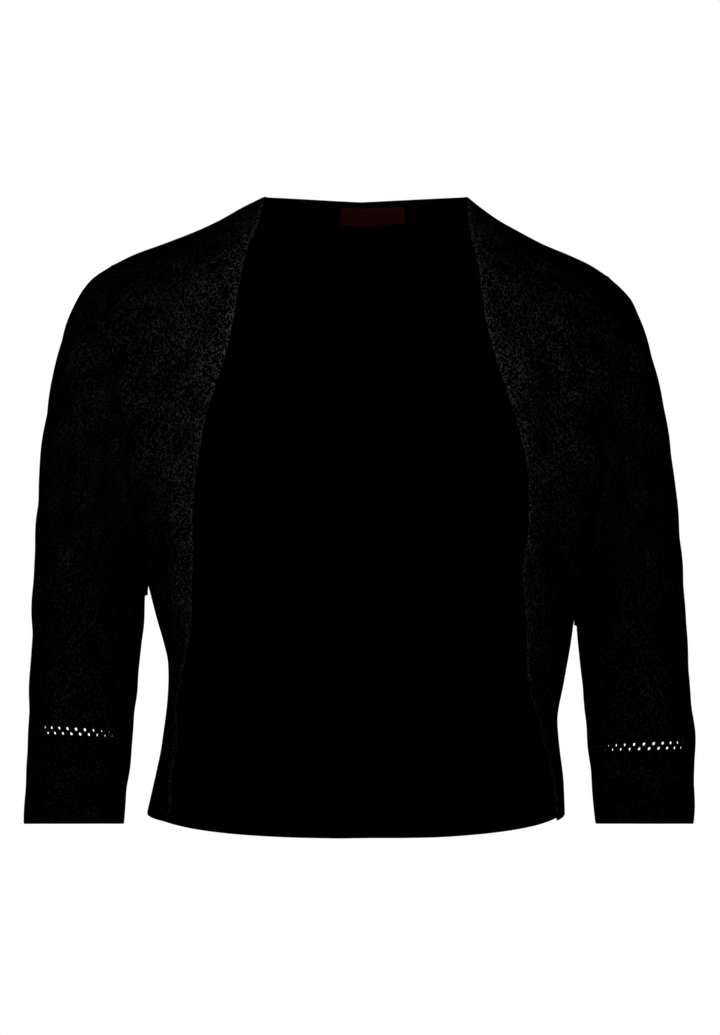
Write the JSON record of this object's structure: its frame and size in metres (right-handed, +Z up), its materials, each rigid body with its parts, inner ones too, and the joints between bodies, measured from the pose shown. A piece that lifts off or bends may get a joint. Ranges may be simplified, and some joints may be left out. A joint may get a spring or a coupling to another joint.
{
  "type": "knitted shrug",
  "caption": "Short open-front knitted shrug with three-quarter set-in sleeves, an openwork row near each cuff and a curved hem.",
  "frame": {"origin": "on the shoulder line, level with the side neck points, between the shoulders that hold the garment up", "axes": "+X towards the wearer's left, -Y towards the wearer's front, +Z up"},
  "size_m": [0.4794, 0.2156, 0.4712],
  "materials": {
    "knit": "matt black fine-gauge plain knit with a faint glint on the stitches",
    "label": "dark burgundy woven satin label, unprinted"
  },
  "bodies": {
    "root": {"back": "knit", "front_right": "knit", "front_left": "knit", "sleeve_right": "knit", "sleeve_left": "knit", "neck_label": "label"}
  },
  "joints": []
}
